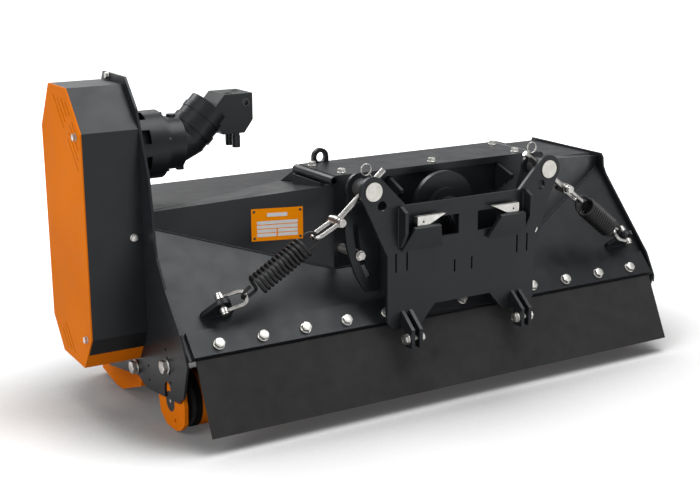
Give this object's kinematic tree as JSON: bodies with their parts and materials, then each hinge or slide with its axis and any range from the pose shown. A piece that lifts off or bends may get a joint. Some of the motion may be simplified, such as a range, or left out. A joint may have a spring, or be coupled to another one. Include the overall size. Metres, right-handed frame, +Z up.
{
  "type": "flail mower",
  "caption": "Belt-driven flail mower with a hydraulic motor, sloped deck, roller, rubber flap and a rolling coupler plate centred by two spring chains.",
  "frame": {"origin": "centre of the bounding box, on the ground plane", "axes": "+X along the width from the belt drive to the free side, +Y from the coupler to the open mouth, +Z up"},
  "size_m": [1.3952, 0.5736, 0.7167],
  "materials": {
    "black_paint": "satin",
    "orange_paint": "satin",
    "label_orange": "satin",
    "zinc_steel": "satin",
    "trunnion_zinc": "matte",
    "spring_black": "gloss",
    "rubber": "matte",
    "cast_dark": "matte",
    "flail_steel": "matte"
  },
  "bodies": {
    "deck": {"deck_shell": "black_paint", "headstock_box": "black_paint", "wing_drive": "black_paint", "wing_idle": "black_paint", "headstock_lid": "black_paint", "lid_bolts": "zinc_steel", "side_plate_drive": "black_paint", "side_plate_idle": "black_paint", "skids": "orange_paint", "roller_arms": "orange_paint", "frame_bolts": "zinc_steel", "roller_bearings": "cast_dark", "clamp_strip": "black_paint", "strip_bolts": "zinc_steel", "curtain_strip": "black_paint", "belt_cover": "black_paint", "belt_cover_face": "orange_paint", "belt_tray": "orange_paint", "cover_screws": "zinc_steel", "drive_belts": "rubber", "rotor_bearings": "cast_dark", "motor_spacer": "black_paint", "motor_body": "black_paint", "motor_port_block": "black_paint", "motor_fittings": "black_paint", "counter_comb": "black_paint", "spring_lugs": "black_paint", "pivot_hub": "black_paint", "guide_bolts": "zinc_steel", "data_plate": "label_orange"},
    "rotor": {"rotor_drum": "cast_dark", "flail_pins": "zinc_steel", "rotor_pulley": "cast_dark"},
    "motor_drive": {"motor_pulley": "cast_dark", "motor_shaft": "zinc_steel"},
    "flail_row_a": {"flails_a": "flail_steel"},
    "flail_row_b": {"flails_b": "flail_steel"},
    "flail_row_c": {"flails_c": "flail_steel"},
    "flail_row_d": {"flails_d": "flail_steel"},
    "roller": {"roller": "orange_paint"},
    "rear_flap": {"rear_flap": "rubber"},
    "front_curtain": {"front_curtain": "rubber"},
    "coupler": {"coupler_plate": "black_paint", "guide_disc": "black_paint", "hook_pockets": "black_paint", "wedges": "zinc_steel", "lower_lugs": "black_paint", "lug_bolts": "zinc_steel"},
    "chain_drive": {"lower_shackle_drive": "zinc_steel", "spring_drive": "spring_black"},
    "chain_idle": {"lower_shackle_idle": "zinc_steel", "spring_idle": "spring_black"},
    "rod_drive": {"upper_shackle_drive": "zinc_steel", "eye_rod_drive": "zinc_steel", "rod_clip_drive": "zinc_steel"},
    "rod_idle": {"upper_shackle_idle": "zinc_steel", "eye_rod_idle": "zinc_steel", "rod_clip_idle": "zinc_steel"},
    "trunnion_drive": {"trunnion_drive": "trunnion_zinc"},
    "trunnion_idle": {"trunnion_idle": "trunnion_zinc"}
  },
  "joints": [
    {"name": "rotor_spin", "type": "hinge", "parent": "deck", "child": "rotor", "pos_m": [0.0529, 0.10008, 0.229], "axis": [1, 0, 0], "continuous": true},
    {"name": "motor_spin", "type": "hinge", "parent": "deck", "child": "motor_drive", "pos_m": [-0.5971, 0.10008, 0.56], "axis": [1, 0, 0], "continuous": true},
    {"name": "flail_swing_a", "type": "hinge", "parent": "rotor", "child": "flail_row_a", "pos_m": [0.0529, 0.10008, 0.321], "axis": [1, 0, 0], "range_deg": [0, 234]},
    {"name": "flail_swing_b", "type": "hinge", "parent": "rotor", "child": "flail_row_b", "pos_m": [0.0529, 0.00808, 0.229], "axis": [1, 0, 0], "range_deg": [-207, 27]},
    {"name": "flail_swing_c", "type": "hinge", "parent": "rotor", "child": "flail_row_c", "pos_m": [0.0529, 0.10008, 0.137], "axis": [1, 0, 0], "range_deg": [-117, 117]},
    {"name": "flail_swing_d", "type": "hinge", "parent": "rotor", "child": "flail_row_d", "pos_m": [0.0529, 0.19208, 0.229], "axis": [1, 0, 0], "range_deg": [-27, 207]},
    {"name": "roller_spin", "type": "hinge", "parent": "deck", "child": "roller", "pos_m": [0.0529, -0.11192, 0.06], "axis": [1, 0, 0], "continuous": true},
    {"name": "rear_flap_bend", "type": "hinge", "parent": "deck", "child": "rear_flap", "pos_m": [0.0529, -0.2174, 0.17274], "axis": [1, 0, 0], "range_deg": [-4, 34], "stiffness_Nm_per_rad": 20, "springref_deg": -1.23},
    {"name": "front_curtain_swing", "type": "hinge", "parent": "deck", "child": "front_curtain", "pos_m": [0.0529, 0.2819, 0.3887], "axis": [1, 0, 0], "range_deg": [-2, 40]},
    {"name": "coupler_roll", "type": "hinge", "parent": "deck", "child": "coupler", "pos_m": [0.0809, -0.21142, 0.404], "axis": [0, 1, 0], "range_deg": [-5, 5], "stiffness_Nm_per_rad": 360},
    {"name": "chain_swing_drive", "type": "hinge", "parent": "deck", "child": "chain_drive", "pos_m": [-0.4731, -0.18214, 0.27212], "axis": [0, 1, 0], "range_deg": [-3, 3]},
    {"name": "chain_swing_idle", "type": "hinge", "parent": "deck", "child": "chain_idle", "pos_m": [0.6059, -0.18214, 0.27212], "axis": [0, 1, 0], "range_deg": [-3, 3]},
    {"name": "rod_pull_drive", "type": "slide", "parent": "chain_drive", "child": "rod_drive", "axis": [0.8433, 0, 0.5375], "range_m": [-0.02, 0.02], "deforming": ["spring_drive"]},
    {"name": "rod_pull_idle", "type": "slide", "parent": "chain_idle", "child": "rod_idle", "axis": [-0.8191, 0, 0.5736], "range_m": [-0.02, 0.02], "deforming": ["spring_idle"]},
    {"name": "trunnion_turn_drive", "type": "hinge", "parent": "coupler", "child": "trunnion_drive", "pos_m": [-0.1501, -0.21142, 0.478], "axis": [0, 1, 0], "range_deg": [-9, 9]},
    {"name": "trunnion_turn_idle", "type": "hinge", "parent": "coupler", "child": "trunnion_idle", "pos_m": [0.3119, -0.21142, 0.478], "axis": [0, 1, 0], "range_deg": [-9, 9]}
  ],
  "couplings": [
    {"joint": "motor_spin", "follows": "rotor_spin", "ratio": 0.84615},
    {"joint": "chain_swing_drive", "follows": "coupler_roll", "ratio": -0.4032},
    {"joint": "chain_swing_idle", "follows": "coupler_roll", "ratio": -0.4074},
    {"joint": "rod_pull_drive", "follows": "coupler_roll", "m_per_rad": 0.1858},
    {"joint": "rod_pull_idle", "follows": "coupler_roll", "m_per_rad": -0.1924},
    {"joint": "trunnion_turn_drive", "follows": "coupler_roll", "ratio": -1.4032},
    {"joint": "trunnion_turn_idle", "follows": "coupler_roll", "ratio": -1.4074}
  ]
}
